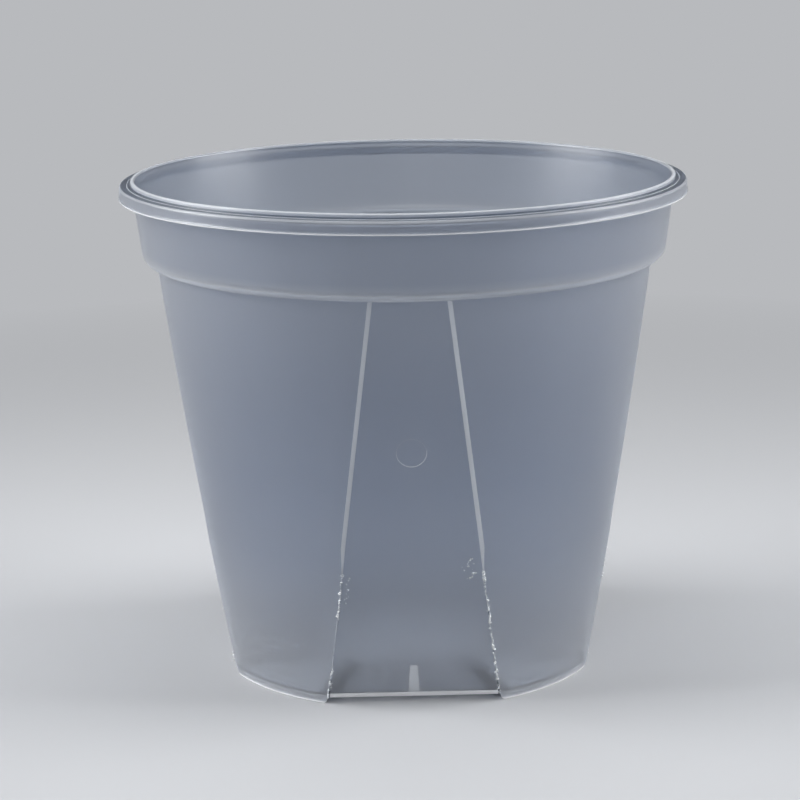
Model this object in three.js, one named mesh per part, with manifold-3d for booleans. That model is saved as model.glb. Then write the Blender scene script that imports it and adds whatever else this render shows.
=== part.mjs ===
import * as THREE from 'three';
import { mergeVertices } from 'three/addons/utils/BufferGeometryUtils.js';
import Module from 'manifold-3d';

// Clear plant pot: a thin-walled round moulding with four flat faces and slits along their feet.
// Millimetres, +Z up, origin on the ground under the middle of the pot. One flat face looks along -Y.

// Driving dimensions of the whole pot
const HEIGHT = 105;
const RIM_RADIUS = 60;
const WALL = 0.9;
const DRAFT_ANGLE = 7.3;

// Rim: an inner lip, a flange one wall thick and a skirt that hangs from its edge
const RIM_OVERHANG = 2.5;
const SKIRT_DEPTH = 3.8;
const SKIRT_FLARE = 0.15;
const LIP_RISE = 1;
const RIM_EDGE_ROUND = 0.7;

// Collar and the rounded shoulder under it
const COLLAR_DEPTH = 17.6;
const SHOULDER_STEP = 2.65;
const SHOULDER_ROUND = 2.6;

// Flat faces: widths are between the edges of the round wall, at the shoulder and at the ground
const PANEL_HEAD_WIDTH = 16.2;
const PANEL_FOOT_WIDTH = 37.4;
const PANEL_STEP_DEPTH = 0.8;
const PANEL_STEP_RUN = 0.9;
const PANEL_STEP_TAPER = 6;

// Slits along the foot of each flat face, and the slots that carry them across the floor. Slots of
// neighbouring faces draw together and leave a bridge of floor between their ends.
const SLIT_HEIGHT = 29.3;
const SLIT_WIDTH = 0.45;
const SLOT_BRIDGE = 4.8;
const SLOT_END_WIDTH = 2;

// Floor, the four feet under it and the short rib behind each flat face
const FOOT_HEIGHT = 0.9;
const FOOT_WIDTH = 3;
const FOOT_CORNER_ROUND = 0.9;
const FLOOR_THICKNESS = 1.2;
const RIB_HEIGHT = 6;
const RIB_FOOT_WIDTH = 2.4;
const RIB_HEAD_WIDTH = 1.5;
const RIB_FOOT_DEPTH = 3;
const RIB_HEAD_DEPTH = 1;

// Smoothness of the round forms
const RING_SEGMENTS = 96;
const ROUND_STEPS = 5;
const PANEL_LEVELS = 8;

const wasm = await Module();
wasm.setup();

// Heights and radii that follow from the dimensions
const slope = Math.tan(THREE.MathUtils.degToRad(DRAFT_ANGLE));
const shoulderZ = HEIGHT - COLLAR_DEPTH;
const collarZ = shoulderZ + SHOULDER_ROUND;
const skirtZ = HEIGHT - SKIRT_DEPTH;
const floorTop = FOOT_HEIGHT + FLOOR_THICKNESS;
const ribTop = floorTop + RIB_HEIGHT;
const stepZ = SLIT_HEIGHT + PANEL_STEP_TAPER;
const collarRadius = (z) => RIM_RADIUS - RIM_OVERHANG - (HEIGHT - z) * slope;
const wallRadius = (z) => collarRadius(z) - SHOULDER_STEP;

// Flat face: half width at the wall's edge and at the flat itself, and its distance from the axis
const panelTaper = (PANEL_FOOT_WIDTH - PANEL_HEAD_WIDTH) / 2 / shoulderZ;
const edgeHalf = (z) => PANEL_FOOT_WIDTH / 2 - z * panelTaper;
const faceHalf = (z) => edgeHalf(z) - PANEL_STEP_RUN;
const slitHalf = (z) => faceHalf(z) + SLIT_WIDTH / 2;
const chordDepth = (radius, half) => Math.sqrt(radius ** 2 - half ** 2);
const edgeDepth = (z) => chordDepth(wallRadius(z), edgeHalf(z));
const panelLean = (edgeDepth(shoulderZ) - edgeDepth(0)) / shoulderZ;
const faceDepth = (z) => edgeDepth(0) - PANEL_STEP_DEPTH + z * panelLean;
const backDepth = (z) => faceDepth(z) - WALL;

function clearPlastic() {
  return new THREE.MeshStandardMaterial({
    color: 0xd5dce4,
    roughness: 0.38,
    metalness: 0,
    transparent: true,
    opacity: 0.4,
  });
}

function toSolid(geometry) {
  const bare = geometry.clone();
  bare.deleteAttribute('normal');
  bare.deleteAttribute('uv');
  const welded = mergeVertices(bare, 1e-4);
  return new wasm.Manifold(new wasm.Mesh({
    numProp: 3,
    vertProperties: welded.attributes.position.array,
    triVerts: new Uint32Array(welded.index.array),
  }));
}

function toGeometry(solid) {
  const mesh = solid.getMesh();
  const geometry = new THREE.BufferGeometry();
  geometry.setAttribute('position', new THREE.BufferAttribute(mesh.vertProperties, mesh.numProp));
  geometry.setIndex(new THREE.BufferAttribute(mesh.triVerts, 1));
  geometry.computeVertexNormals();
  return geometry;
}

// Revolves a closed outline of [radius, height] points about the pot's axis
function revolve(outline) {
  const points = [...outline, outline[0]].map(([radius, z]) => new THREE.Vector2(radius, z));
  return new THREE.LatheGeometry(points, RING_SEGMENTS).rotateX(Math.PI / 2);
}

// Round stretch about a centre, from one angle to another, as [radius, height] points
function roundStretch(centreRadius, centreZ, radius, startDegrees, endDegrees) {
  return Array.from({ length: ROUND_STEPS + 1 }, (_, step) => {
    const angle = THREE.MathUtils.degToRad(startDegrees + (endDegrees - startDegrees) * step / ROUND_STEPS);
    return [centreRadius + radius * Math.cos(angle), centreZ + radius * Math.sin(angle)];
  });
}

// Joins level rings of [x, y, z] points, counter-clockwise from above and lowest first, into a solid
function loft(rings) {
  const size = rings[0].length;
  const index = [];
  for (let level = 1; level < rings.length; level += 1) {
    for (let i = 0; i < size; i += 1) {
      const low = (level - 1) * size + i;
      const lowNext = (level - 1) * size + (i + 1) % size;
      index.push(low, lowNext, lowNext + size);
      index.push(low, lowNext + size, low + size);
    }
  }
  const capAt = (level) => {
    const contour = rings[level].map(([x, y]) => new THREE.Vector2(x, y));
    return THREE.ShapeUtils.triangulateShape(contour, [])
      .map((face) => face.map((i) => i + level * size));
  };
  capAt(0).forEach(([a, b, c]) => index.push(c, b, a));
  capAt(rings.length - 1).forEach((face) => index.push(...face));
  const geometry = new THREE.BufferGeometry();
  geometry.setAttribute('position', new THREE.Float32BufferAttribute(rings.flat(2), 3));
  geometry.setIndex(index);
  return geometry;
}

const levelsBetween = (low, high, count) => Array.from(
  { length: count + 1 },
  (_, step) => low + (high - low) * step / count,
);

function rimRing() {
  const flangeTop = HEIGHT - LIP_RISE;
  const flangeUnder = flangeTop - WALL;
  const skirtFace = RIM_RADIUS - SKIRT_FLARE;
  const lip = WALL / 2;
  const lipZ = HEIGHT - lip;
  const lipCentre = collarRadius(lipZ) - lip;
  const lipStart = THREE.MathUtils.radToDeg(Math.asin(Math.max(lip - LIP_RISE, 0) / lip));
  return revolve([
    [collarRadius(skirtZ) - WALL, skirtZ],
    [collarRadius(skirtZ), skirtZ],
    [collarRadius(flangeUnder), flangeUnder],
    [RIM_RADIUS - WALL, flangeUnder],
    [RIM_RADIUS - WALL, skirtZ],
    [RIM_RADIUS, skirtZ],
    [RIM_RADIUS, skirtZ + WALL / 3],
    [skirtFace, skirtZ + WALL / 3 + SKIRT_FLARE],
    ...roundStretch(skirtFace - RIM_EDGE_ROUND, flangeTop - RIM_EDGE_ROUND, RIM_EDGE_ROUND, 0, 90),
    [collarRadius(flangeTop), flangeTop],
    ...roundStretch(lipCentre, lipZ, lip, lipStart, 90),
    ...roundStretch(lipCentre, lipZ, lip, 90, 180).slice(1),
  ]);
}

function collarBand() {
  return revolve([
    [collarRadius(collarZ) - WALL, collarZ],
    [collarRadius(collarZ), collarZ],
    [collarRadius(skirtZ), skirtZ],
    [collarRadius(skirtZ) - WALL, skirtZ],
  ]);
}

function shoulderRing() {
  const wallTop = wallRadius(shoulderZ);
  const collarFoot = collarRadius(collarZ);
  const round = Math.min(SHOULDER_ROUND, collarFoot - wallTop);
  const insideRound = Math.max(round - WALL, WALL / 4);
  return revolve([
    [wallTop - WALL, shoulderZ],
    [wallTop, shoulderZ],
    ...roundStretch(collarFoot - round, shoulderZ + round, round, -90, 0),
    [collarFoot, collarZ],
    [collarFoot - WALL, collarZ],
    ...roundStretch(collarFoot - WALL - insideRound, shoulderZ + WALL + insideRound, insideRound, 0, -90),
    [wallTop - WALL, shoulderZ + WALL],
  ]);
}

// Opening in the round wall for one flat face: it rounds the corners of the feet beside it, and is
// wider above the slits, where the stepped edges fill it
function panelOpening() {
  const reach = RIM_RADIUS;
  const cornerHalf = slitHalf(FOOT_CORNER_ROUND) + FOOT_CORNER_ROUND;
  const rightSide = [
    [cornerHalf, -WALL],
    ...roundStretch(cornerHalf, FOOT_CORNER_ROUND, FOOT_CORNER_ROUND, -90, -180),
    [slitHalf(SLIT_HEIGHT), SLIT_HEIGHT],
    [edgeHalf(stepZ), stepZ],
    [edgeHalf(HEIGHT), HEIGHT],
  ];
  const leftSide = rightSide.map(([x, z]) => [-x, z]).reverse();
  const outline = new THREE.Shape([...rightSide, ...leftSide].map(([x, z]) => new THREE.Vector2(x, z)));
  return new THREE.ExtrudeGeometry(outline, { depth: reach, bevelEnabled: false }).rotateX(Math.PI / 2);
}

// Cuts from a full ring the stretch between the front face and the right-hand face
function betweenPanels(ring) {
  const opening = panelOpening();
  const corner = new THREE.BoxGeometry(RIM_RADIUS, RIM_RADIUS, 2 * HEIGHT)
    .translate(RIM_RADIUS / 2, -RIM_RADIUS / 2, 0);
  return toGeometry(toSolid(ring)
    .intersect(toSolid(corner))
    .subtract(toSolid(opening))
    .subtract(toSolid(opening.clone().rotateZ(Math.PI / 2))));
}

function wallSector() {
  return betweenPanels(revolve([
    [wallRadius(floorTop) - WALL, floorTop],
    [wallRadius(floorTop), floorTop],
    [wallRadius(shoulderZ), shoulderZ],
    [wallRadius(shoulderZ) - WALL, shoulderZ],
  ]));
}

function footArc() {
  return betweenPanels(revolve([
    [wallRadius(0) - FOOT_WIDTH, 0],
    [wallRadius(0), 0],
    [wallRadius(FOOT_HEIGHT), FOOT_HEIGHT],
    [wallRadius(0) - FOOT_WIDTH, FOOT_HEIGHT],
  ]));
}

// Flat plate, stepped edges that rise from it to the round wall, and the web that closes its head
// against the inside of the shoulder. Each step starts as a point at the top of its slit and widens
// to its full run.
function flatPanel() {
  const plateHalf = (z) => faceHalf(z) - SLIT_WIDTH / 2;
  const plate = loft([floorTop, shoulderZ].map((z) => [
    [-plateHalf(z), -faceDepth(z), z],
    [plateHalf(z), -faceDepth(z), z],
    [plateHalf(z), -backDepth(z), z],
    [-plateHalf(z), -backDepth(z), z],
  ]));
  const stepRing = (z) => {
    const start = slitHalf(SLIT_HEIGHT);
    const widening = (z - SLIT_HEIGHT) / PANEL_STEP_TAPER;
    const edge = widening < 1 ? start + (edgeHalf(stepZ) - start) * widening : edgeHalf(z);
    const face = faceHalf(z);
    const root = plateHalf(z) - WALL;
    return [
      [root, -faceDepth(z), z],
      [face, -faceDepth(z), z],
      [edge, -chordDepth(wallRadius(z), edge), z],
      [edge, -chordDepth(wallRadius(z) - WALL, edge), z],
      [face + (edge - face) / 3, -backDepth(z), z],
      [root, -backDepth(z), z],
    ];
  };
  const stepLevels = [
    ...levelsBetween(SLIT_HEIGHT, stepZ, 2),
    ...levelsBetween(stepZ, shoulderZ, PANEL_LEVELS).slice(1),
  ];
  const rightStep = loft(stepLevels.map(stepRing));
  const leftStep = loft(stepLevels.map((z) => stepRing(z).map(([x, y]) => [-x, y, z]).reverse()));
  const headFoot = shoulderZ - WALL / 4;
  const headRing = revolve([
    [backDepth(shoulderZ) - WALL, headFoot],
    [wallRadius(shoulderZ) - WALL, headFoot],
    [wallRadius(shoulderZ) - WALL, headFoot + WALL],
    [backDepth(shoulderZ) - WALL, headFoot + WALL],
  ]);
  const headSpace = new THREE.BoxGeometry(2 * edgeHalf(shoulderZ), RIM_RADIUS, 2 * HEIGHT)
    .translate(0, -backDepth(shoulderZ) - RIM_RADIUS / 2, 0);
  const headWeb = toSolid(headRing).intersect(toSolid(headSpace));
  return toGeometry([plate, rightStep, leftStep].reduce(
    (panel, piece) => panel.add(toSolid(piece)),
    headWeb,
  ));
}

// Flat bottom: straight under each flat face, round under each wall sector, slotted between them.
// A slot is as narrow as its slit at the wall and widens to a round end.
function floorPlate() {
  const radius = wallRadius(FOOT_HEIGHT);
  const plateEnd = new THREE.Vector2(faceHalf(floorTop) - SLIT_WIDTH / 2, -faceDepth(floorTop));
  const sectorHalf = slitHalf(floorTop);
  const sectorEnd = new THREE.Vector2(sectorHalf, -chordDepth(radius, sectorHalf));
  const sectorAngle = Math.asin(sectorHalf / radius);
  const slotAngle = Math.PI / 2 + sectorAngle / 2;
  const slotWay = new THREE.Vector2(Math.cos(slotAngle), Math.sin(slotAngle));
  const fromNeighbour = new THREE.Vector2(-1, -1).normalize();
  const toBridge = plateEnd.dot(fromNeighbour) - (SLOT_BRIDGE + SLOT_END_WIDTH) / 2;
  const slotEnd = slotWay.clone()
    .multiplyScalar(-toBridge / slotWay.dot(fromNeighbour))
    .add(plateEnd);
  const roundEnd = levelsBetween(slotAngle + Math.PI / 2, slotAngle - Math.PI / 2, ROUND_STEPS)
    .map((angle) => new THREE.Vector2(Math.cos(angle), Math.sin(angle))
      .multiplyScalar(SLOT_END_WIDTH / 2)
      .add(slotEnd));
  const origin = new THREE.Vector2();
  const rightHalf = [plateEnd, ...roundEnd, sectorEnd];
  const leftHalf = rightHalf.map((point) => new THREE.Vector2(-point.x, point.y)).reverse();
  const quarter = [...leftHalf.slice(1), ...rightHalf];
  const outline = new THREE.Shape();
  for (let side = 0; side < 4; side += 1) {
    const turn = side * Math.PI / 2;
    quarter.forEach((corner, i) => {
      const point = corner.clone().rotateAround(origin, turn);
      if (side === 0 && i === 0) outline.moveTo(point.x, point.y);
      else outline.lineTo(point.x, point.y);
    });
    outline.absarc(0, 0, radius, turn - Math.PI / 2 + sectorAngle, turn - sectorAngle, false);
  }
  return new THREE.ExtrudeGeometry(outline, {
    depth: FLOOR_THICKNESS,
    bevelEnabled: false,
    curveSegments: RING_SEGMENTS / 6,
  }).translate(0, 0, FOOT_HEIGHT);
}

function panelRib() {
  const ring = (z, width, depth) => [
    [-width / 2, -backDepth(z), z],
    [width / 2, -backDepth(z), z],
    [width / 2, depth - backDepth(z), z],
    [-width / 2, depth - backDepth(z), z],
  ];
  return loft([
    ring(floorTop, RIB_FOOT_WIDTH, RIB_FOOT_DEPTH),
    ring(ribTop, RIB_HEAD_WIDTH, RIB_HEAD_DEPTH),
  ]);
}

const pot = new THREE.Group();

function place(name, geometry, quarterTurns = 0) {
  const mesh = new THREE.Mesh(geometry, clearPlastic());
  mesh.name = name;
  mesh.rotation.z = quarterTurns * Math.PI / 2;
  pot.add(mesh);
}

place('rim_ring', rimRing());
place('collar_band', collarBand());
place('shoulder_ring', shoulderRing());

const corners = ['front_right', 'back_right', 'back_left', 'front_left'];
const sector = wallSector();
const foot = footArc();
corners.forEach((corner, turns) => {
  place(`wall_sector_${corner}`, sector, turns);
  place(`foot_arc_${corner}`, foot, turns);
});

const sides = ['front', 'right', 'back', 'left'];
const panel = flatPanel();
const rib = panelRib();
sides.forEach((side, turns) => {
  place(`flat_panel_${side}`, panel, turns);
  place(`panel_rib_${side}`, rib, turns);
});

place('floor_plate', floorPlate());

export default pot;
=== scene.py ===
from math import asin, atan2, cos, hypot, pi, radians, sin, sqrt, tan

import bpy
from mathutils import Euler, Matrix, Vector


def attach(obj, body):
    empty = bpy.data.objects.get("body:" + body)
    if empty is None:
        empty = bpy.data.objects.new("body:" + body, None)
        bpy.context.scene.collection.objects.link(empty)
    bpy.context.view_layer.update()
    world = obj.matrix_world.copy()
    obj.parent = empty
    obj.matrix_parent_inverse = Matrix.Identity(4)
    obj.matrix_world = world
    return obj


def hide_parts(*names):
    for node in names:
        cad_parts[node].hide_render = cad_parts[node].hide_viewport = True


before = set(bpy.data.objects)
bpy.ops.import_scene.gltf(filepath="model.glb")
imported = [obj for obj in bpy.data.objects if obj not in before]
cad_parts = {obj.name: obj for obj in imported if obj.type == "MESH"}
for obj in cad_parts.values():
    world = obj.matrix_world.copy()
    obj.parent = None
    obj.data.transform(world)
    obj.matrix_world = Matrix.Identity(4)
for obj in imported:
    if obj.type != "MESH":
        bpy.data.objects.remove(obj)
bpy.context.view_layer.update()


# The pot is one thin injection moulding of frosted clear polypropylene: a round tapered wall with
# four flat faces let into it, a floor on four low feet, a straight collar and a turned-down rim.
# It is drawn as one closed skin, from the floor's middle out and up, first outside and then inside.
MM = 0.001
HEIGHT = 105.0
RIM_RADIUS = 60.0
RIM_OVERHANG = 2.5
WALL = 0.9
WALL_DRAFT = radians(7.3)
COLLAR_DEPTH = 17.6
SHOULDER_STEP = 2.65
SHOULDER_ROUND = 2.6
LIP_RISE = 1.0
LIP_RADIUS = 56.99
LIP_ROUND = 0.45
EDGE_ROUND = 0.7
SKIRT_DEPTH = 3.8
SKIRT_FLARE = 0.15
FACE_FOOT_WIDTH = 37.4
FACE_HEAD_WIDTH = 16.2
STEP_RUN = 0.9
STEP_DEPTH = 0.8
STEP_TAPER = 6.0
SLIT_TOP = 29.3
SLIT_WIDTH = 0.2
SLIT_GAPE = 0.3
GAPE_HEIGHT = 7.0
SLOT_LENGTH = 20.0
SLOT_END = 1.0
FLOOR_UNDER = 0.9
FLOOR_TOP = 2.1
FOOT_INSIDE = 38.4
FOOT_ROUND = 0.9
FOOT_END_RISE = 0.9
RIB_TOP = 8.1
RIB_FOOT_WIDTH = 2.4
RIB_HEAD_WIDTH = 1.5
RIB_FOOT_DEPTH = 3.0
RIB_HEAD_DEPTH = 1.0
RIB_FLANK = 0.12
SHOULDER = HEIGHT - COLLAR_DEPTH
COLLAR_FOOT = SHOULDER + SHOULDER_ROUND
RIM_TOP = HEIGHT - LIP_RISE
RIM_UNDER = RIM_TOP - WALL
SKIRT_FOOT = HEIGHT - SKIRT_DEPTH
wall_slope = tan(WALL_DRAFT)


def collar_radius(z):
    return RIM_RADIUS - RIM_OVERHANG - (HEIGHT - z) * wall_slope


def wall_radius(z):
    return collar_radius(z) - SHOULDER_STEP


def edge_half(z):
    """Half the width that a flat face takes out of the round wall."""
    return (FACE_FOOT_WIDTH - z * (FACE_FOOT_WIDTH - FACE_HEAD_WIDTH) / SHOULDER) / 2


def edge_depth(z):
    return sqrt(wall_radius(z) ** 2 - edge_half(z) ** 2)


face_lean = (edge_depth(SHOULDER) - edge_depth(0)) / SHOULDER


def face_depth(z):
    return edge_depth(0) - STEP_DEPTH + z * face_lean


def step_share(z):
    """0 beside the open slit, 1 where the full stepped edge joins flat face and round wall."""
    return min(max((z - SLIT_TOP) / STEP_TAPER, 0.0), 1.0)


def slit_width(z):
    """The slit gapes at the floor and closes to a fine cut a few millimetres up."""
    return SLIT_WIDTH + SLIT_GAPE * max(1 - z / GAPE_HEIGHT, 0.0) ** 2


def plate_half(z):
    """Half the width of a flat face's own plate, inside its slits and stepped edges."""
    return edge_half(z) - STEP_RUN - slit_width(z) / 2 * (1 - step_share(z))


def wall_half(z):
    """Half the distance between the round walls on either side of a flat face."""
    beside_slit = edge_half(z) - STEP_RUN + slit_width(z) / 2
    return beside_slit + (edge_half(z) - beside_slit) * step_share(z)


def rib_share(z):
    return (z - FLOOR_TOP) / (RIB_TOP - FLOOR_TOP)


def rib_half(z):
    """Half the width of the short rib that stands behind each flat face on the floor."""
    narrowing = RIB_FOOT_WIDTH - RIB_HEAD_WIDTH
    return (RIB_FOOT_WIDTH - narrowing * min(max(rib_share(z), 0.0), 1.0)) / 2


def rib_depth(z):
    if z > RIB_TOP:
        return 0.0
    return RIB_FOOT_DEPTH - (RIB_FOOT_DEPTH - RIB_HEAD_DEPTH) * rib_share(z)


def on_arc(radius, corner, share):
    """Point on the round wall, from the edge beside a flat face to half way between two faces."""
    start = asin(corner / radius)
    turn = start + share * (pi / 4 - start)
    return radius * sin(turn), -radius * cos(turn)


def across_plate(kind, share, z, half):
    if kind == "rib":
        return rib_half(z) * share
    rib_side = rib_half(z) + RIB_FLANK
    return rib_side + share * (half - rib_side)


# Rows of the skin. Each is a function of a column, which is named by its kind and its share of the
# way across: columns behind a rib, across the flat plate, or along the round wall.
def level(z, inset=0.0):
    """Row along the upright wall at one height. Inside, a stepped edge is narrower by a third."""
    def at(kind, share):
        if kind == "wall":
            return *on_arc(wall_radius(z) - inset, wall_half(z), share), z
        half = plate_half(z) + (STEP_RUN / 3 * step_share(z) if inset else 0.0)
        inward = rib_depth(z) if kind == "rib" and inset else 0.0
        return across_plate(kind, share, z, half), inset + inward - face_depth(z), z
    return at


def floor(along, z):
    """Row across the floor, which meets each slot at a distance from the wall. A slot is as fine as
    its slit at the wall and widens to a round end of radius SLOT_END."""
    slot_turn = asin(wall_half(z) / wall_radius(z)) / 2
    straight = SLOT_LENGTH - SLOT_END
    past = max(along - straight, 0.0)
    spread = sqrt(SLOT_END ** 2 - past ** 2) if past else SLOT_END * along / straight
    wall_lag = 1 - min(along / straight, 1.0)
    middle_x = plate_half(z) - along * sin(slot_turn)
    middle_y = along * cos(slot_turn) - face_depth(z)

    def at(kind, share):
        if kind == "wall":
            wall_x = wall_half(z) - plate_half(z)
            wall_y = face_depth(z) - sqrt(wall_radius(z) ** 2 - wall_half(z) ** 2)
            x = middle_x + spread * cos(slot_turn) + wall_x * wall_lag
            y = middle_y + spread * sin(slot_turn) + wall_y * wall_lag
            return *on_arc(hypot(x, y), x, share), z
        x = middle_x - spread * cos(slot_turn)
        return across_plate(kind, share, FLOOR_TOP, x), middle_y - spread * sin(slot_turn), z
    return at


def foot(radius, wall_z, inset, plate_z):
    """Row round the bottom edge, at a radius on the round wall and set in from a flat face. The end
    of each foot curves up beside its slit."""
    def at(kind, share):
        if kind == "wall":
            x, y = on_arc(radius, wall_half(wall_z), share)
            near = max(FOOT_ROUND - (x - wall_half(wall_z)), 0.0)
            rise = FOOT_END_RISE * (FOOT_ROUND - sqrt(FOOT_ROUND ** 2 - near ** 2))
            return x, y, rise + wall_z * (1 - rise / FLOOR_UNDER)
        half = plate_half(plate_z)
        return across_plate(kind, share, FLOOR_TOP, half), inset - face_depth(plate_z), plate_z
    return at


def band(radius, z):
    """Row round the shoulder, collar or rim."""
    def at(kind, share):
        x, y, _ = level(SHOULDER)(kind, share)
        turn = atan2(x, -y)
        return radius * sin(turn), -radius * cos(turn), z
    return at


def bands(profile):
    return [band(radius, z) for radius, z in profile]


def rounding(radius, z, size, start, end, steps):
    """Rows of a rounded edge about a centre, between two angles in degrees."""
    angles = [radians(start + (end - start) * step / steps) for step in range(steps + 1)]
    return [band(radius + size * cos(angle), z + size * sin(angle)) for angle in angles]


def split(on_wall, on_plate):
    return lambda kind, share: (on_wall if kind == "wall" else on_plate)(kind, share)


def part_way(first, second, way):
    """Row that lies between two others."""
    def at(kind, share):
        a, b = first(kind, share), second(kind, share)
        return tuple(p + (q - p) * way for p, q in zip(a, b))
    return at


# Each row is listed with the finish of the strip that follows it, on the round wall and on the flat
# face. The finishes paint light and shade into the plastic's colour: faint light, light and a white
# highlight are painted on the edges, bands, shoulder, lip and floor that catch the light, and dark
# shade is painted on the rim's smooth dish and the slot edges. The inner side is a smoother, clearer
# skin whose darker tint is painted shade.
CLEAR, FAINT_LIGHT, PAINTED_LIGHT, HIGHLIGHT, PAINTED_SHADE, INNER_SHADE = range(6)


def alike(rows, finish):
    """Rows with one finish all the way round."""
    return [(row, finish, finish) for row in rows]


slot_stations = [19.92, 19.7, 19.4, 19.0, 15.0, 11.0, 7.0]
ways_to_wall = [0.3, 0.55, 0.75, 0.9, 0.97]
slit_levels = [4.0, 6.0, RIB_TOP, RIB_TOP + 0.06, 11.0, 15.0, 20.0, 25.0, SLIT_TOP]
upper_levels = [31.0, 33.0, SLIT_TOP + STEP_TAPER, 40.0, 48.0, 56.0, 64.0, 72.0, 79.0, 84.0, 86.2]
collar_levels = [90.6, 94.0, 98.0, 100.6, 102.4]
shoulder_middle = collar_radius(COLLAR_FOOT) - SHOULDER_ROUND
shoulder_outside = rounding(shoulder_middle, COLLAR_FOOT, SHOULDER_ROUND, -90, 0, 9)
shoulder_inside = rounding(shoulder_middle, COLLAR_FOOT, SHOULDER_ROUND - WALL, -90, 0, 6)
skirt_inside = RIM_RADIUS - WALL
skirt_outside = RIM_RADIUS - SKIRT_FLARE
lip = rounding(LIP_RADIUS, HEIGHT - LIP_ROUND, LIP_ROUND, 180, 0, 6)
rim_edge = rounding(skirt_outside - EDGE_ROUND, RIM_TOP - EDGE_ROUND, EDGE_ROUND, 90, 0, 6)
dish_inner = bands([(57.41, RIM_TOP + 0.26), (57.46, RIM_TOP + 0.06), (57.66, RIM_TOP - 0.02)])
dish_ridge = bands([(58.08, RIM_TOP - 0.03), (58.14, RIM_TOP + 0.04), (58.2, RIM_TOP + 0.04)])
dish_outer = bands([(58.26, RIM_TOP - 0.03), (58.8, RIM_TOP - 0.01)])
# Outside rows: painted light on the floor's underside, the foot, the face heads and the shoulder, and a
# white painted highlight on the bottom edge and the skirt's lower edge.
outside = [
    *[(floor(along, FLOOR_UNDER), FAINT_LIGHT, CLEAR) for along in slot_stations],
    (foot(FOOT_INSIDE, FLOOR_UNDER, 2.4, FLOOR_UNDER), FAINT_LIGHT, CLEAR),
    (foot(FOOT_INSIDE, 0.1, 1.6, FLOOR_UNDER), FAINT_LIGHT, CLEAR),
    (foot(FOOT_INSIDE + 0.1, 0.0, 1.0, FLOOR_UNDER), PAINTED_LIGHT, PAINTED_LIGHT),
    (foot(wall_radius(0) - 0.28, 0.0, 0.3, FLOOR_UNDER), HIGHLIGHT, HIGHLIGHT),
    (foot(wall_radius(0) - 0.05, 0.08, 0.08, FLOOR_UNDER + 0.06), HIGHLIGHT, HIGHLIGHT),
    (foot(wall_radius(0.45), 0.45, 0.0, FLOOR_UNDER + 0.26), FAINT_LIGHT, HIGHLIGHT),
    *alike([level(FLOOR_TOP - 0.2)], CLEAR),
    *alike([level(z) for z in slit_levels], CLEAR),
]
slit_rows = len(outside) - 1
outside += [
    *alike([level(z) for z in upper_levels], CLEAR),
    (split(level(86.9), level(86.98)), CLEAR, CLEAR),
    (split(level(87.0), level(87.1)), CLEAR, PAINTED_LIGHT),
    (split(level(87.08), band(wall_radius(87.14) - 0.06, 87.14)), CLEAR, PAINTED_LIGHT),
    (split(level(87.18), band(wall_radius(87.2), 87.2)), CLEAR, PAINTED_LIGHT),
]
head_row = len(outside) - 1
outside += [
    (band(wall_radius(87.34), 87.34), FAINT_LIGHT, PAINTED_LIGHT),
    *alike(shoulder_outside[:3], PAINTED_LIGHT),
    *alike(shoulder_outside[3:6], FAINT_LIGHT),
    *alike(shoulder_outside[6:], CLEAR),
    *alike([band(collar_radius(z), z) for z in collar_levels], CLEAR),
    *alike([band(collar_radius(102.9), 102.9), band(collar_radius(RIM_UNDER) + 0.14, RIM_UNDER)], CLEAR),
    *alike(bands([(skirt_inside - 0.2, RIM_UNDER), (skirt_inside, RIM_UNDER - 0.2)]), CLEAR),
    *alike(bands([(skirt_inside, 102.0)]), CLEAR),
    *alike(bands([(skirt_inside, SKIRT_FOOT + 0.14), (skirt_inside + 0.1, SKIRT_FOOT)]), HIGHLIGHT),
]
floor_corner = level(FLOOR_TOP, WALL)
floor_border = floor(slot_stations[-1], FLOOR_TOP)
# Inside rows: painted light on the floor, painted shade over the inner walls, painted highlights on the
# lip and the rim's edge, and painted shade in the rim's dish.
inside = [
    *[(floor(along, FLOOR_TOP), PAINTED_LIGHT, FAINT_LIGHT) for along in slot_stations],
    *[(part_way(floor_border, floor_corner, way), PAINTED_LIGHT, FAINT_LIGHT) for way in ways_to_wall],
    *alike([floor_corner, level(FLOOR_TOP + 0.3, WALL)], INNER_SHADE),
    *alike([level(z, WALL) for z in slit_levels + upper_levels], INNER_SHADE),
    *alike([level(87.2, WALL), split(level(87.84, WALL), level(87.9, WALL))], INNER_SHADE),
    *alike([split(level(87.92, WALL), band(wall_radius(88.0) - WALL - 0.08, 87.98))], INNER_SHADE),
    *alike(bands([(wall_radius(88.0) - WALL, 88.08), (wall_radius(88.0) - WALL + 0.16, 88.3)]), INNER_SHADE),
    *alike(shoulder_inside, INNER_SHADE),
    *alike([band(collar_radius(z) - WALL, z) for z in collar_levels], INNER_SHADE),
    *alike(lip[:2], FAINT_LIGHT),
    *alike(lip[2:5], PAINTED_LIGHT),
    *alike(lip[5:], FAINT_LIGHT),
    *alike(dish_inner, PAINTED_SHADE),
    *alike(dish_ridge, PAINTED_LIGHT),
    *alike(dish_outer, PAINTED_SHADE),
    *alike(rim_edge[:2], PAINTED_SHADE),
    *alike(rim_edge[2:5], FAINT_LIGHT),
    *alike(rim_edge[5:], CLEAR),
    *alike(bands([(skirt_outside, 102.9), (skirt_outside, 101.9), (59.88, 101.71)]), CLEAR),
    *alike(bands([(RIM_RADIUS, 101.55)]), PAINTED_LIGHT),
    *alike(bands([(RIM_RADIUS, 101.4), (RIM_RADIUS - 0.1, SKIRT_FOOT)]), HIGHLIGHT),
]
half_columns = [("rib", 0.0), ("rib", 1.0)]
half_columns += [("plate", share) for share in (0.0, 0.22, 0.44, 0.66, 0.86, 0.97, 1.0)]
plate_edge = len(half_columns) - 1
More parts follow.
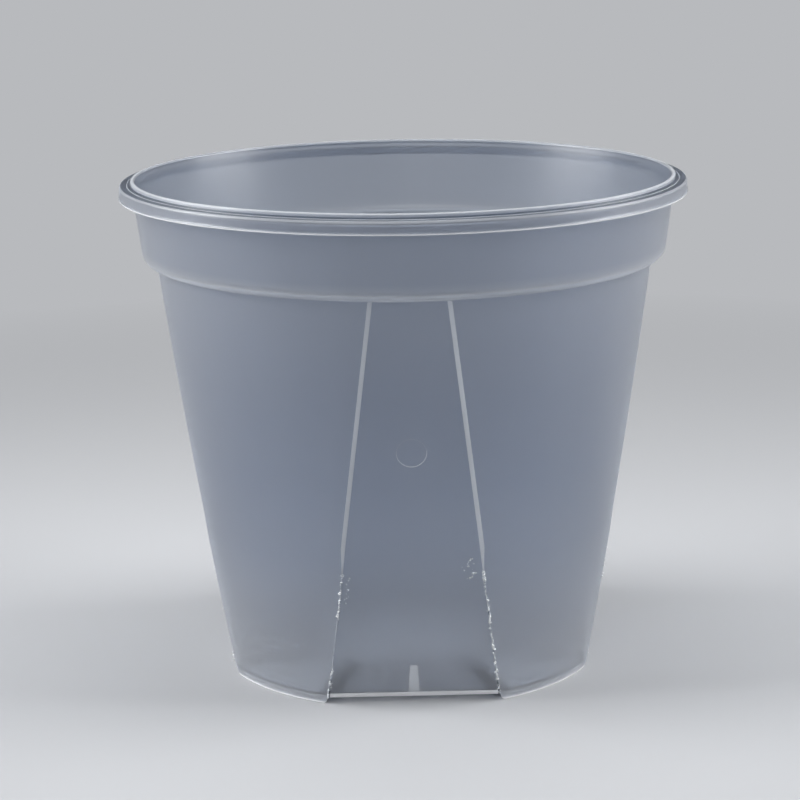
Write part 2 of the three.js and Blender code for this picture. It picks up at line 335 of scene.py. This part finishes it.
half_columns += [("wall", share) for share in (0.0, 0.006, 0.018, 0.036, 0.07)]
half_columns += [("wall", 0.07 + 0.93 * step / 13) for step in range(1, 14)]
mirror_edge = 2 * len(half_columns) - 3 - plate_edge
gaps = (plate_edge, mirror_edge)
slot_borders = range(plate_edge - 2, plate_edge + 6)
upright_row = slit_rows - len(slit_levels)
rib_head_row = upright_row + slit_levels.index(RIB_TOP) + 1


def quarter_ring(row):
    """Points of one row from the middle of the front face to the middle of the right-hand face."""
    near = [row(kind, share) for kind, share in half_columns]
    far = [(-y, -x, z) for x, y, z in reversed(near[:-1])]
    return near + far


points = []
outside_at = []
inside_at = []
for rows, grid in ((outside, outside_at), (inside, inside_at)):
    for row, _, _ in rows:
        ring = quarter_ring(row)
        grid.append(range(len(points), len(points) + len(ring)))
        points += ring
column_count = len(outside_at[0])
faces = []
finishes = []


def skin(corners, finish, turn_over=False):
    faces.append(corners[::-1] if turn_over else corners)
    finishes.append(finish)


for rows, grid, inward in ((outside, outside_at, False), (inside, inside_at, True)):
    slot_rows = len(slot_stations) + (len(ways_to_wall) if inward else 0)
    for r in range(len(grid) - 1):
        low, high = grid[r], grid[r + 1]
        _, wall_finish, face_finish = rows[r]
        for c in range(column_count - 1):
            if r < slit_rows and c in gaps:
                continue
            from_middle = min(c, column_count - 2 - c)
            finish = wall_finish if plate_edge <= c <= mirror_edge else face_finish
            # Painted light on the stepped bands beside each flat face, above the slits.
            if c in gaps and r <= head_row and not inward:
                finish = PAINTED_LIGHT
            # Painted light on the rib behind each flat face.
            if upright_row <= r < rib_head_row and from_middle == 0:
                finish = PAINTED_LIGHT
            # Painted shade along the floor's slot edges.
            if r < slot_rows and from_middle in slot_borders:
                finish = PAINTED_SHADE
            skin((low[c], low[c + 1], high[c + 1], high[c]), finish, inward)
# A white painted highlight on the underside of the rim's skirt.
skirt_out, skirt_in = outside_at[-1], inside_at[-1]
for c in range(column_count - 1):
    skin((skirt_out[c], skirt_out[c + 1], skirt_in[c + 1], skirt_in[c]), HIGHLIGHT)
for c in gaps:
    for r in range(slit_rows):
        out_low, out_high = outside_at[r], outside_at[r + 1]
        in_low, in_high = inside_at[r], inside_at[r + 1]
        # The slots' cut faces in the floor are painted shade; the slits' cut faces in the wall are
        # painted light.
        cut = PAINTED_SHADE if r < upright_row else PAINTED_LIGHT
        skin((out_low[c], in_low[c], in_high[c], out_high[c]), cut)
        skin((out_low[c + 1], out_high[c + 1], in_high[c + 1], in_low[c + 1]), cut)
    # Painted shade on each slot's end and a white painted highlight on each slit's top.
    end_out, end_in = outside_at[0], inside_at[0]
    skin((end_out[c], end_out[c + 1], end_in[c + 1], end_in[c]), PAINTED_SHADE)
    top_out, top_in = outside_at[slit_rows], inside_at[slit_rows]
    skin((top_out[c], top_in[c], top_in[c + 1], top_out[c + 1]), HIGHLIGHT)
# Painted light on the middle of the floor, below and inside.
for ring, z, inward in ((outside_at[0], FLOOR_UNDER, False), (inside_at[0], FLOOR_TOP, True)):
    half_way = range(len(points), len(points) + column_count)
    points += [(points[i][0] / 2, points[i][1] / 2, z) for i in ring]
    middle = len(points)
    points.append((0.0, 0.0, z))
    for c in range(column_count - 1):
        skin((half_way[c], half_way[c + 1], ring[c + 1], ring[c]), PAINTED_LIGHT, inward)
        skin((middle, half_way[c + 1], half_way[c]), PAINTED_LIGHT, inward)


def carrier(name, vertices, edges, polygons):
    """Plain mesh object in metres, from points in millimetres, for a node tree to work on."""
    mesh = bpy.data.meshes.new(name)
    mesh.from_pydata([(x * MM, y * MM, z * MM) for x, y, z in vertices], edges, polygons)
    made = bpy.data.objects.new(name, mesh)
    bpy.context.scene.collection.objects.link(made)
    return made


quarter = carrier("pot_quarter", points, [], faces)
quarter.data.attributes.new("finish", "INT", "FACE").data.foreach_set("value", finishes)


def node(tree, kind, **settings):
    made = tree.nodes.new(kind)
    for name, value in settings.items():
        setattr(made, name, value)
    return made


def wire(tree, *pairs):
    for output, target in pairs:
        tree.links.new(output, target)


def plastic(name, colour, deep_colour, clear, roughness, light_by_height=(), ripple=0.0, sheen=0.0):
    """Polypropylene with flow streaks in its tint and uneven frosting on its skin. Light by height lists
    heights in mm and how far the tint is lightened towards pale grey there, which is painted light, and
    ripple is the depth in mm of faint waves."""
    material = bpy.data.materials.new(name)
    material.use_nodes = True
    tree = material.node_tree
    shader = tree.nodes["Principled BSDF"]
    shader.inputs["IOR"].default_value = 1.49
    shader.inputs["Transmission Weight"].default_value = clear
    shader.inputs["Sheen Weight"].default_value = sheen
    shader.inputs["Sheen Roughness"].default_value = 0.4
    shader.inputs["Sheen Tint"].default_value = (0.88, 0.92, 1.0, 1.0)
    place = node(tree, "ShaderNodeTexCoord")
    stretch = node(tree, "ShaderNodeMapping")
    stretch.inputs["Scale"].default_value = (70.0, 70.0, 16.0)
    streaks = node(tree, "ShaderNodeTexNoise")
    streaks.inputs["Scale"].default_value = 1.0
    streaks.inputs["Detail"].default_value = 3.0
    # Inputs 6 and 7 of a colour mix are its two colours, and output 2 is the mixed one.
    tint = node(tree, "ShaderNodeMix", data_type="RGBA")
    tint.inputs[6].default_value = (*deep_colour, 1.0)
    tint.inputs[7].default_value = (*colour, 1.0)
    mottle = node(tree, "ShaderNodeTexNoise")
    mottle.inputs["Scale"].default_value = 70.0
    mottle.inputs["Detail"].default_value = 2.0
    frost = node(tree, "ShaderNodeMapRange")
    frost.inputs["To Min"].default_value = roughness - 0.01
    frost.inputs["To Max"].default_value = roughness + 0.01
    wire(
        tree,
        (place.outputs["Object"], stretch.inputs["Vector"]),
        (stretch.outputs["Vector"], streaks.inputs["Vector"]),
        (streaks.outputs["Fac"], tint.inputs[0]),
        (place.outputs["Object"], mottle.inputs["Vector"]),
        (mottle.outputs["Fac"], frost.inputs["Value"]),
    )
    skin_colour = tint.outputs[2]
    skin_frost = frost.outputs["Result"]
    # Painted light by height: the tint is lightened towards pale grey and the skin made a little rougher
    # where the list says.
    if light_by_height:
        parts = node(tree, "ShaderNodeSeparateXYZ")
        rise = node(tree, "ShaderNodeMath", operation="DIVIDE")
        rise.inputs[1].default_value = HEIGHT * MM
        ramp = node(tree, "ShaderNodeValToRGB")
        stops = ramp.color_ramp.elements
        while len(stops) < len(light_by_height):
            stops.new(0.5)
        for stop, (z, amount) in zip(stops, light_by_height):
            stop.position = z / HEIGHT
            stop.color = (amount, amount, amount, 1.0)
        lightened_by_height = node(tree, "ShaderNodeMix", data_type="RGBA")
        lightened_by_height.inputs[7].default_value = (0.94, 0.945, 0.955, 1.0)
        frosting = node(tree, "ShaderNodeMath", operation="MULTIPLY_ADD")
        frosting.inputs[1].default_value = 0.03
        wire(
            tree,
            (place.outputs["Object"], parts.inputs["Vector"]),
            (parts.outputs["Z"], rise.inputs[0]),
            (rise.outputs[0], ramp.inputs["Fac"]),
            (ramp.outputs["Color"], lightened_by_height.inputs[0]),
            (skin_colour, lightened_by_height.inputs[6]),
            (ramp.outputs["Color"], frosting.inputs[0]),
            (skin_frost, frosting.inputs[2]),
        )
        skin_colour = lightened_by_height.outputs[2]
        skin_frost = frosting.outputs[0]
    wire(tree, (skin_colour, shader.inputs["Base Color"]), (skin_frost, shader.inputs["Roughness"]))
    if ripple:
        waves = node(tree, "ShaderNodeBump")
        waves.inputs["Distance"].default_value = ripple * MM
        wire(
            tree,
            (streaks.outputs["Fac"], waves.inputs["Height"]),
            (waves.outputs["Normal"], shader.inputs["Normal"]),
        )
    return material


# Painted light by height on the wall: lightest on the shoulder's rounding, light at the foot, darkest
# over the middle of the wall.
wall_painted_light = [
    (0, 0.75), (10, 0.65), (20, 0.4), (32, 0.1), (48, 0.0), (66, 0.1),
    (87, 0.35), (88.2, 1.0), (89.2, 0.8), (91, 0.35), (105, 0.3),
]
frosted_wall = plastic(
    "frosted_wall", (0.58, 0.63, 0.72), (0.51, 0.56, 0.66), 0.86, 0.29,
    light_by_height=wall_painted_light, ripple=0.03, sheen=0.15,
)
# Painted light and shade: the next plastics are painted faint light, painted light, a white painted
# highlight and dark painted shade.
faint_light_wall = plastic("faint_light_wall", (0.84, 0.87, 0.92), (0.80, 0.83, 0.89), 0.72, 0.34)
painted_light_edge = plastic("painted_light_edge", (0.90, 0.93, 0.96), (0.86, 0.89, 0.94), 0.5, 0.36)
highlight_edge = plastic("highlight_edge", (0.97, 0.97, 0.98), (0.93, 0.94, 0.96), 0.1, 0.42)
painted_shade_edge = plastic("painted_shade_edge", (0.24, 0.28, 0.36), (0.20, 0.24, 0.32), 0.9, 0.32)
# The inner skin is clearer and smoother, and its darker tint is painted shade inside the pot.
shaded_inner_wall = plastic("shaded_inner_wall", (0.46, 0.51, 0.60), (0.40, 0.45, 0.54), 0.9, 0.3, ripple=0.03)
plastic_by_finish = {
    "Wall plastic": frosted_wall,
    "Faint light plastic": faint_light_wall,
    "Painted light plastic": painted_light_edge,
    "Highlight plastic": highlight_edge,
    "Painted shade plastic": painted_shade_edge,
    "Inner shade plastic": shaded_inner_wall,
}


def take_in(tree, name, kind, value=None):
    """Adds a named input to a node tree, with its usual value."""
    socket = tree.interface.new_socket(name, in_out="INPUT", socket_type="NodeSocket" + kind)
    if value is not None:
        socket.default_value = value


def give_out(tree, name, geometry):
    tree.interface.new_socket(name, in_out="OUTPUT", socket_type="NodeSocketGeometry")
    wire(tree, (geometry, node(tree, "NodeGroupOutput").inputs[name]))


four_quarters = bpy.data.node_groups.new("four_quarters", "GeometryNodeTree")
take_in(four_quarters, "Quarter", "Geometry")
take_in(four_quarters, "Quarters", "Int", 4)
take_in(four_quarters, "Weld", "Float", 0.004 * MM)
for label in plastic_by_finish:
    take_in(four_quarters, label, "Material")
given = node(four_quarters, "NodeGroupInput")
spots = node(four_quarters, "GeometryNodePoints")
number = node(four_quarters, "GeometryNodeInputIndex")
way_round = node(four_quarters, "ShaderNodeMath", operation="DIVIDE")
angle = node(four_quarters, "ShaderNodeMath", operation="MULTIPLY")
angle.inputs[1].default_value = 2 * pi
turn = node(four_quarters, "ShaderNodeCombineXYZ")
copies = node(four_quarters, "GeometryNodeInstanceOnPoints")
real = node(four_quarters, "GeometryNodeRealizeInstances")
weld = node(four_quarters, "GeometryNodeMergeByDistance")
finish_of = node(four_quarters, "GeometryNodeInputNamedAttribute", data_type="INT")
finish_of.inputs["Name"].default_value = "finish"
wire(
    four_quarters,
    (given.outputs["Quarters"], spots.inputs["Count"]),
    (number.outputs["Index"], way_round.inputs[0]),
    (given.outputs["Quarters"], way_round.inputs[1]),
    (way_round.outputs[0], angle.inputs[0]),
    (angle.outputs[0], turn.inputs["Z"]),
    (spots.outputs["Points"], copies.inputs["Points"]),
    (given.outputs["Quarter"], copies.inputs["Instance"]),
    (turn.outputs["Vector"], copies.inputs["Rotation"]),
    (copies.outputs["Instances"], real.inputs["Geometry"]),
    (real.outputs["Geometry"], weld.inputs["Geometry"]),
    (given.outputs["Weld"], weld.inputs["Distance"]),
)
skinned = weld.outputs["Geometry"]
for finish, label in enumerate(plastic_by_finish):
    # Inputs 2 and 3 of a comparison are its two whole numbers.
    chosen = node(four_quarters, "FunctionNodeCompare", data_type="INT", operation="EQUAL")
    chosen.inputs[3].default_value = finish
    paint = node(four_quarters, "GeometryNodeSetMaterial")
    wire(
        four_quarters,
        (finish_of.outputs["Attribute"], chosen.inputs[2]),
        (skinned, paint.inputs["Geometry"]),
        (chosen.outputs["Result"], paint.inputs["Selection"]),
        (given.outputs[label], paint.inputs["Material"]),
    )
    skinned = paint.outputs["Geometry"]
give_out(four_quarters, "Pot", skinned)


def settle(started, tree, name, values):
    """Runs a node tree on a carrier object and leaves its result as a plain mesh object."""
    maker = started.modifiers.new(tree.name, "NODES")
    maker.node_group = tree
    inputs = [item for item in tree.interface.items_tree if item.in_out == "INPUT"]
    identifiers = {item.name: item.identifier for item in inputs}
    for label, value in values.items():
        maker[identifiers[label]] = value
    evaluated = started.evaluated_get(bpy.context.evaluated_depsgraph_get())
    mesh = bpy.data.meshes.new_from_object(evaluated)
    started.modifiers.remove(maker)
    bpy.data.objects.remove(started)
    mesh.name = name
    piece = bpy.data.objects.new(name, mesh)
    bpy.context.scene.collection.objects.link(piece)
    return piece


pot = settle(quarter, four_quarters, "pot_moulding", plastic_by_finish)
pot.data.shade_smooth()
pot.data.set_sharp_from_angle(angle=radians(32))
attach(pot, "root")
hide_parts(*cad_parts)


# Flash is the ragged film of plastic that the mould squeezes out along the slits. It is trimmed after
# moulding, which leaves small white beads in uneven runs on both edges of every cut. The left-hand
# cut of a face is trimmed cleaner over its middle stretch.
FLASH_FOOT = 1.6
FLASH_HEAD = SLIT_TOP + 0.4
FLASH_STEPS = 24
CLEANER_FROM, CLEANER_TO = 8.0, 19.0
LEFT_CLEANER, RIGHT_CLEANER = 0.2, 0.9
OTHER_FACES = 0.85


def turned(x, y, z, quarter_turns):
    """Point turned about the pot's axis, from the front face to another."""
    swing = quarter_turns * pi / 2
    return x * cos(swing) - y * sin(swing), x * sin(swing) + y * cos(swing), z


flash_points = []
flash_lines = []
flash_ragged = []
flash_reach = FLASH_HEAD - FLASH_FOOT
flash_levels = [FLASH_FOOT + flash_reach * step / FLASH_STEPS for step in range(FLASH_STEPS + 1)]
for quarter_turns in range(4):
    for side, cleaner in ((-1, LEFT_CLEANER), (1, RIGHT_CLEANER)):
        plate_line = [(side * plate_half(z), face_depth(z), z) for z in flash_levels]
        wall_line = [
            (side * wall_half(z), sqrt(wall_radius(z) ** 2 - wall_half(z) ** 2), z) for z in flash_levels
        ]
        for line in (plate_line, wall_line):
            start = len(flash_points)
            for x, depth, z in line:
                flash_points.append(turned(x, -depth, z, quarter_turns))
                ragged = cleaner if CLEANER_FROM < z < CLEANER_TO else 1.0
                flash_ragged.append(ragged if quarter_turns == 0 else OTHER_FACES * ragged)
            flash_lines += [(i, i + 1) for i in range(start, len(flash_points) - 1)]
flash_carrier = carrier("flash_lines", flash_points, flash_lines, [])
flash_carrier.data.attributes.new("ragged", "FLOAT", "POINT").data.foreach_set("value", flash_ragged)

flash_plastic = plastic("flash_plastic", (0.97, 0.98, 0.98), (0.86, 0.89, 0.93), 0.1, 0.34)

flash_runs = bpy.data.node_groups.new("flash_runs", "GeometryNodeTree")
take_in(flash_runs, "Cut lines", "Geometry")
take_in(flash_runs, "Bead spacing", "Float", 0.4 * MM)
take_in(flash_runs, "Smallest bead", "Float", 0.09 * MM)
take_in(flash_runs, "Largest bead", "Float", 0.25 * MM)
take_in(flash_runs, "Seed", "Int", 7)
take_in(flash_runs, "Plastic", "Material")
given = node(flash_runs, "NodeGroupInput")
lines = node(flash_runs, "GeometryNodeMeshToCurve")
spaced = node(flash_runs, "GeometryNodeResampleCurve", mode="LENGTH")
runs = node(flash_runs, "ShaderNodeTexNoise")
runs.inputs["Scale"].default_value = 900.0
raggedness = node(flash_runs, "GeometryNodeInputNamedAttribute", data_type="FLOAT")
raggedness.inputs["Name"].default_value = "ragged"
chance = node(flash_runs, "ShaderNodeMath", operation="MULTIPLY")
kept = node(flash_runs, "FunctionNodeCompare", data_type="FLOAT", operation="GREATER_THAN")
kept.inputs[1].default_value = 0.47
# A random vector lies between inputs 0 and 1 and is output 0. A random size lies between inputs 2
# and 3 and is output 1.
drift = node(flash_runs, "FunctionNodeRandomValue", data_type="FLOAT_VECTOR")
drift.inputs[0].default_value = (-0.14 * MM, -0.14 * MM, -0.14 * MM)
drift.inputs[1].default_value = (0.14 * MM, 0.14 * MM, 0.14 * MM)
nudged = node(flash_runs, "GeometryNodeSetPosition")
bead = node(flash_runs, "GeometryNodeMeshIcoSphere")
bead.inputs["Radius"].default_value = 1.0
bead.inputs["Subdivisions"].default_value = 1
girth = node(flash_runs, "FunctionNodeRandomValue", data_type="FLOAT")
tilt = node(flash_runs, "FunctionNodeRandomValue", data_type="FLOAT_VECTOR")
tilt.inputs[1].default_value = (2 * pi, 2 * pi, 2 * pi)
drawn_out = node(flash_runs, "ShaderNodeCombineXYZ")
longer = node(flash_runs, "ShaderNodeMath", operation="MULTIPLY")
longer.inputs[1].default_value = 1.8
beads = node(flash_runs, "GeometryNodeInstanceOnPoints")
real = node(flash_runs, "GeometryNodeRealizeInstances")
smooth = node(flash_runs, "GeometryNodeSetShadeSmooth")
paint = node(flash_runs, "GeometryNodeSetMaterial")
wire(
    flash_runs,
    (given.outputs["Cut lines"], lines.inputs["Mesh"]),
    (lines.outputs["Curve"], spaced.inputs["Curve"]),
    (given.outputs["Bead spacing"], spaced.inputs["Length"]),
    (runs.outputs["Fac"], chance.inputs[0]),
    (raggedness.outputs["Attribute"], chance.inputs[1]),
    (chance.outputs[0], kept.inputs[0]),
    (given.outputs["Smallest bead"], girth.inputs[2]),
    (given.outputs["Largest bead"], girth.inputs[3]),
    (given.outputs["Seed"], girth.inputs["Seed"]),
    (given.outputs["Seed"], tilt.inputs["Seed"]),
    (given.outputs["Seed"], drift.inputs["Seed"]),
    (girth.outputs[1], drawn_out.inputs["X"]),
    (girth.outputs[1], drawn_out.inputs["Y"]),
    (girth.outputs[1], longer.inputs[0]),
    (longer.outputs[0], drawn_out.inputs["Z"]),
    (spaced.outputs["Curve"], nudged.inputs["Geometry"]),
    (drift.outputs[0], nudged.inputs["Offset"]),
    (nudged.outputs["Geometry"], beads.inputs["Points"]),
    (kept.outputs["Result"], beads.inputs["Selection"]),
    (bead.outputs["Mesh"], beads.inputs["Instance"]),
    (tilt.outputs[0], beads.inputs["Rotation"]),
    (drawn_out.outputs["Vector"], beads.inputs["Scale"]),
    (beads.outputs["Instances"], real.inputs["Geometry"]),
    (real.outputs["Geometry"], smooth.inputs["Geometry"]),
    (smooth.outputs["Geometry"], paint.inputs["Geometry"]),
    (given.outputs["Plastic"], paint.inputs["Material"]),
)
give_out(flash_runs, "Flash", paint.outputs["Geometry"])

slit_flash = settle(flash_carrier, flash_runs, "slit_flash", {"Plastic": flash_plastic})
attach(slit_flash, "root")


# Specks of the same plastic stay on the flat faces round the top of each slit, where the steel blade
# that forms the slit ends. They are small flattened crumbs that stick to the skin. Each patch lists
# its corners by height and by distance in from the slit.
close_patch = [(22.5, 0.5), (22.5, 1.7), (28.5, 1.5), (28.5, 0.7)]
loose_patch = [(27.0, 0.9), (27.0, 3.2), (30.5, 4.6), (32.5, 1.4)]
speck_points = []
speck_patches = []
for quarter_turns in range(4):
    for side, patch in ((-1, close_patch), (1, loose_patch)):
        speck_patches.append(range(len(speck_points), len(speck_points) + len(patch)))
        for z, inward in patch:
            x, depth = side * (plate_half(z) - inward), face_depth(z)
            speck_points.append(turned(x, -depth, z, quarter_turns))
speck_carrier = carrier("speck_patches", speck_points, [], speck_patches)

speck_scatter = bpy.data.node_groups.new("speck_scatter", "GeometryNodeTree")
take_in(speck_scatter, "Patches", "Geometry")
take_in(speck_scatter, "Specks per square metre", "Float", 1.8e6)
take_in(speck_scatter, "Smallest speck", "Float", 0.08 * MM)
take_in(speck_scatter, "Largest speck", "Float", 0.24 * MM)
take_in(speck_scatter, "Seed", "Int", 11)
take_in(speck_scatter, "Plastic", "Material")
given = node(speck_scatter, "NodeGroupInput")
strewn = node(speck_scatter, "GeometryNodeDistributePointsOnFaces")
crumb = node(speck_scatter, "GeometryNodeMeshIcoSphere")
crumb.inputs["Radius"].default_value = 1.0
crumb.inputs["Subdivisions"].default_value = 1
girth = node(speck_scatter, "FunctionNodeRandomValue", data_type="FLOAT")
flat = node(speck_scatter, "ShaderNodeMath", operation="MULTIPLY")
flat.inputs[1].default_value = 0.35
shape = node(speck_scatter, "ShaderNodeCombineXYZ")
crumbs = node(speck_scatter, "GeometryNodeInstanceOnPoints")
real = node(speck_scatter, "GeometryNodeRealizeInstances")
smooth = node(speck_scatter, "GeometryNodeSetShadeSmooth")
paint = node(speck_scatter, "GeometryNodeSetMaterial")
wire(
    speck_scatter,
    (given.outputs["Patches"], strewn.inputs["Mesh"]),
    (given.outputs["Specks per square metre"], strewn.inputs["Density"]),
    (given.outputs["Seed"], strewn.inputs["Seed"]),
    (given.outputs["Smallest speck"], girth.inputs[2]),
    (given.outputs["Largest speck"], girth.inputs[3]),
    (given.outputs["Seed"], girth.inputs["Seed"]),
    (girth.outputs[1], flat.inputs[0]),
    (girth.outputs[1], shape.inputs["X"]),
    (girth.outputs[1], shape.inputs["Y"]),
    (flat.outputs[0], shape.inputs["Z"]),
    (strewn.outputs["Points"], crumbs.inputs["Points"]),
    (strewn.outputs["Rotation"], crumbs.inputs["Rotation"]),
    (crumb.outputs["Mesh"], crumbs.inputs["Instance"]),
    (shape.outputs["Vector"], crumbs.inputs["Scale"]),
    (crumbs.outputs["Instances"], real.inputs["Geometry"]),
    (real.outputs["Geometry"], smooth.inputs["Geometry"]),
    (smooth.outputs["Geometry"], paint.inputs["Geometry"]),
    (given.outputs["Plastic"], paint.inputs["Material"]),
)
give_out(speck_scatter, "Specks", paint.outputs["Geometry"])

slit_specks = settle(speck_carrier, speck_scatter, "slit_specks", {"Plastic": flash_plastic})
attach(slit_specks, "root")


# A faint raised circle on the front face is the witness of an ejector pin in the mould. It is only a
# twentieth of a millimetre high and in the real pot of the same plastic, and the pin sat a little
# askew, so its lower edge stands out and the rest is almost sunk in the face. Here it takes the white
# edge finish, a painted highlight, so that lower edge shows as a fine white line.
PIN_HEIGHT = 55.4
PIN_RADIUS = 3.0
PIN_SUNK = 0.05
PIN_ASKEW = 0.065
PIN_STEPS = 64
pin_lean = atan2(face_lean, 1.0)
pin_points = []
for step in range(PIN_STEPS):
    around = 2 * pi * step / PIN_STEPS
    z = PIN_HEIGHT + PIN_RADIUS * sin(around) * cos(pin_lean)
    lift = PIN_ASKEW * ((1 - sin(around)) / 2) ** 3 - PIN_SUNK
    pin_points.append((PIN_RADIUS * cos(around), -(face_depth(z) + lift), z))
pin_edges = [(step, (step + 1) % PIN_STEPS) for step in range(PIN_STEPS)]
pin_carrier = carrier("pin_circle", pin_points, pin_edges, [])

pin_bead = bpy.data.node_groups.new("pin_bead", "GeometryNodeTree")
take_in(pin_bead, "Circle", "Geometry")
take_in(pin_bead, "Bead radius", "Float", 0.055 * MM)
take_in(pin_bead, "Plastic", "Material")
given = node(pin_bead, "NodeGroupInput")
path = node(pin_bead, "GeometryNodeMeshToCurve")
section = node(pin_bead, "GeometryNodeCurvePrimitiveCircle")
section.inputs["Resolution"].default_value = 8
swept = node(pin_bead, "GeometryNodeCurveToMesh")
real = node(pin_bead, "GeometryNodeRealizeInstances")
paint = node(pin_bead, "GeometryNodeSetMaterial")
wire(
    pin_bead,
    (given.outputs["Circle"], path.inputs["Mesh"]),
    (given.outputs["Bead radius"], section.inputs["Radius"]),
    (path.outputs["Curve"], swept.inputs["Curve"]),
    (section.outputs["Curve"], swept.inputs["Profile Curve"]),
    (swept.outputs["Mesh"], real.inputs["Geometry"]),
    (real.outputs["Geometry"], paint.inputs["Geometry"]),
    (given.outputs["Plastic"], paint.inputs["Material"]),
)
give_out(pin_bead, "Witness", paint.outputs["Geometry"])

# The witness bead is a white painted highlight.
pin_witness = settle(pin_carrier, pin_bead, "pin_witness", {"Plastic": highlight_edge})
pin_witness.data.shade_smooth()
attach(pin_witness, "root")


# The studio: a wide pale floor that keeps its tone far behind the pot, a gridded soft box on either
# side, one overhead and one in front, and a camera with a long lens that stands where the photograph
# was taken, slightly above the rim.
FLOOR_REACH = 9000.0
FLOOR_DROP = 0.05
floor_corners = [
    (x * FLOOR_REACH, y * FLOOR_REACH, -FLOOR_DROP) for x, y in ((-1, -1), (1, -1), (1, 1), (-1, 1))
]
studio_floor = carrier("studio_floor", floor_corners, [], [(0, 1, 2, 3)])
pale_paint = bpy.data.materials.new("pale_paint")
pale_paint.use_nodes = True
tree = pale_paint.node_tree
paint = tree.nodes["Principled BSDF"]
paint.inputs["Base Color"].default_value = (0.52, 0.53, 0.55, 1.0)
paint.inputs["Roughness"].default_value = 0.9
backdrop = node(tree, "ShaderNodeEmission")
backdrop.inputs["Color"].default_value = (0.48, 0.49, 0.51, 1.0)
spot = node(tree, "ShaderNodeTexCoord")
away = node(tree, "ShaderNodeVectorMath", operation="LENGTH")
far = node(tree, "ShaderNodeMapRange")
far.inputs["From Min"].default_value = 0.1
far.inputs["From Max"].default_value = 0.42
ray = node(tree, "ShaderNodeLightPath")
bent = node(tree, "ShaderNodeMath", operation="MAXIMUM")
seen = node(tree, "ShaderNodeMath", operation="MAXIMUM")
share = node(tree, "ShaderNodeMath", operation="MULTIPLY")
blend = node(tree, "ShaderNodeMixShader")
wire(
    tree,
    (spot.outputs["Object"], away.inputs[0]),
    (away.outputs["Value"], far.inputs["Value"]),
    (ray.outputs["Is Glossy Ray"], bent.inputs[0]),
    (ray.outputs["Is Transmission Ray"], bent.inputs[1]),
    (ray.outputs["Is Camera Ray"], seen.inputs[0]),
    (bent.outputs[0], seen.inputs[1]),
    (far.outputs["Result"], share.inputs[0]),
    (seen.outputs[0], share.inputs[1]),
    (share.outputs[0], blend.inputs["Fac"]),
    (paint.outputs["BSDF"], blend.inputs[1]),
    (backdrop.outputs["Emission"], blend.inputs[2]),
    (blend.outputs["Shader"], tree.nodes["Material Output"].inputs["Surface"]),
)
studio_floor.data.materials.append(pale_paint)

world = bpy.data.worlds.new("studio_air")
world.use_nodes = True
world.node_tree.nodes["Background"].inputs["Color"].default_value = (0.93, 0.96, 1.0, 1.0)
world.node_tree.nodes["Background"].inputs["Strength"].default_value = 0.16
bpy.context.scene.world = world
aim = Vector((0, 0, HEIGHT / 2 * MM))
for name, place, size, power, spread in (
    ("left_soft_box", (-0.57, 0.0, 0.31), (0.4, 0.55), 1.0, 70),
    ("right_soft_box", (0.57, 0.0, 0.31), (0.4, 0.55), 0.9, 70),
    ("top_soft_box", (0.0, 0.1, 0.95), (0.6, 0.6), 2.8, 180),
    ("front_soft_box", (-0.25, -1.2, 0.8), (1.0, 0.7), 4.5, 180),
):
    lamp = bpy.data.lights.new(name, "AREA")
    lamp.shape = "RECTANGLE"
    lamp.size, lamp.size_y = size
    lamp.energy = power
    lamp.spread = radians(spread)
    soft_box = bpy.data.objects.new(name, lamp)
    soft_box.location = place
    soft_box.rotation_euler = (aim - Vector(place)).to_track_quat("-Z", "Y").to_euler()
    bpy.context.scene.collection.objects.link(soft_box)

CAMERA_DISTANCE = 501.4
CAMERA_RISE = radians(13.746)
CAMERA_TURN = radians(1.073)
CAMERA_ROLL = radians(-0.881)
level_way = CAMERA_DISTANCE * cos(CAMERA_RISE)
lens = bpy.data.cameras.new("studio_camera")
lens.sensor_width = 36.0
lens.lens = 103.88
lens.shift_x = -0.0081
lens.shift_y = 0.0159
lens.clip_start = 0.01
camera = bpy.data.objects.new("studio_camera", lens)
camera.location = aim + MM * Vector((
    -level_way * sin(CAMERA_TURN),
    -level_way * cos(CAMERA_TURN),
    CAMERA_DISTANCE * sin(CAMERA_RISE),
))
facing = (aim - camera.location).to_track_quat("-Z", "Y")
camera.rotation_euler = (facing @ Euler((0, 0, CAMERA_ROLL)).to_quaternion()).to_euler()
bpy.context.scene.collection.objects.link(camera)
bpy.context.scene.camera = camera
bpy.context.scene.view_settings.view_transform = "Standard"
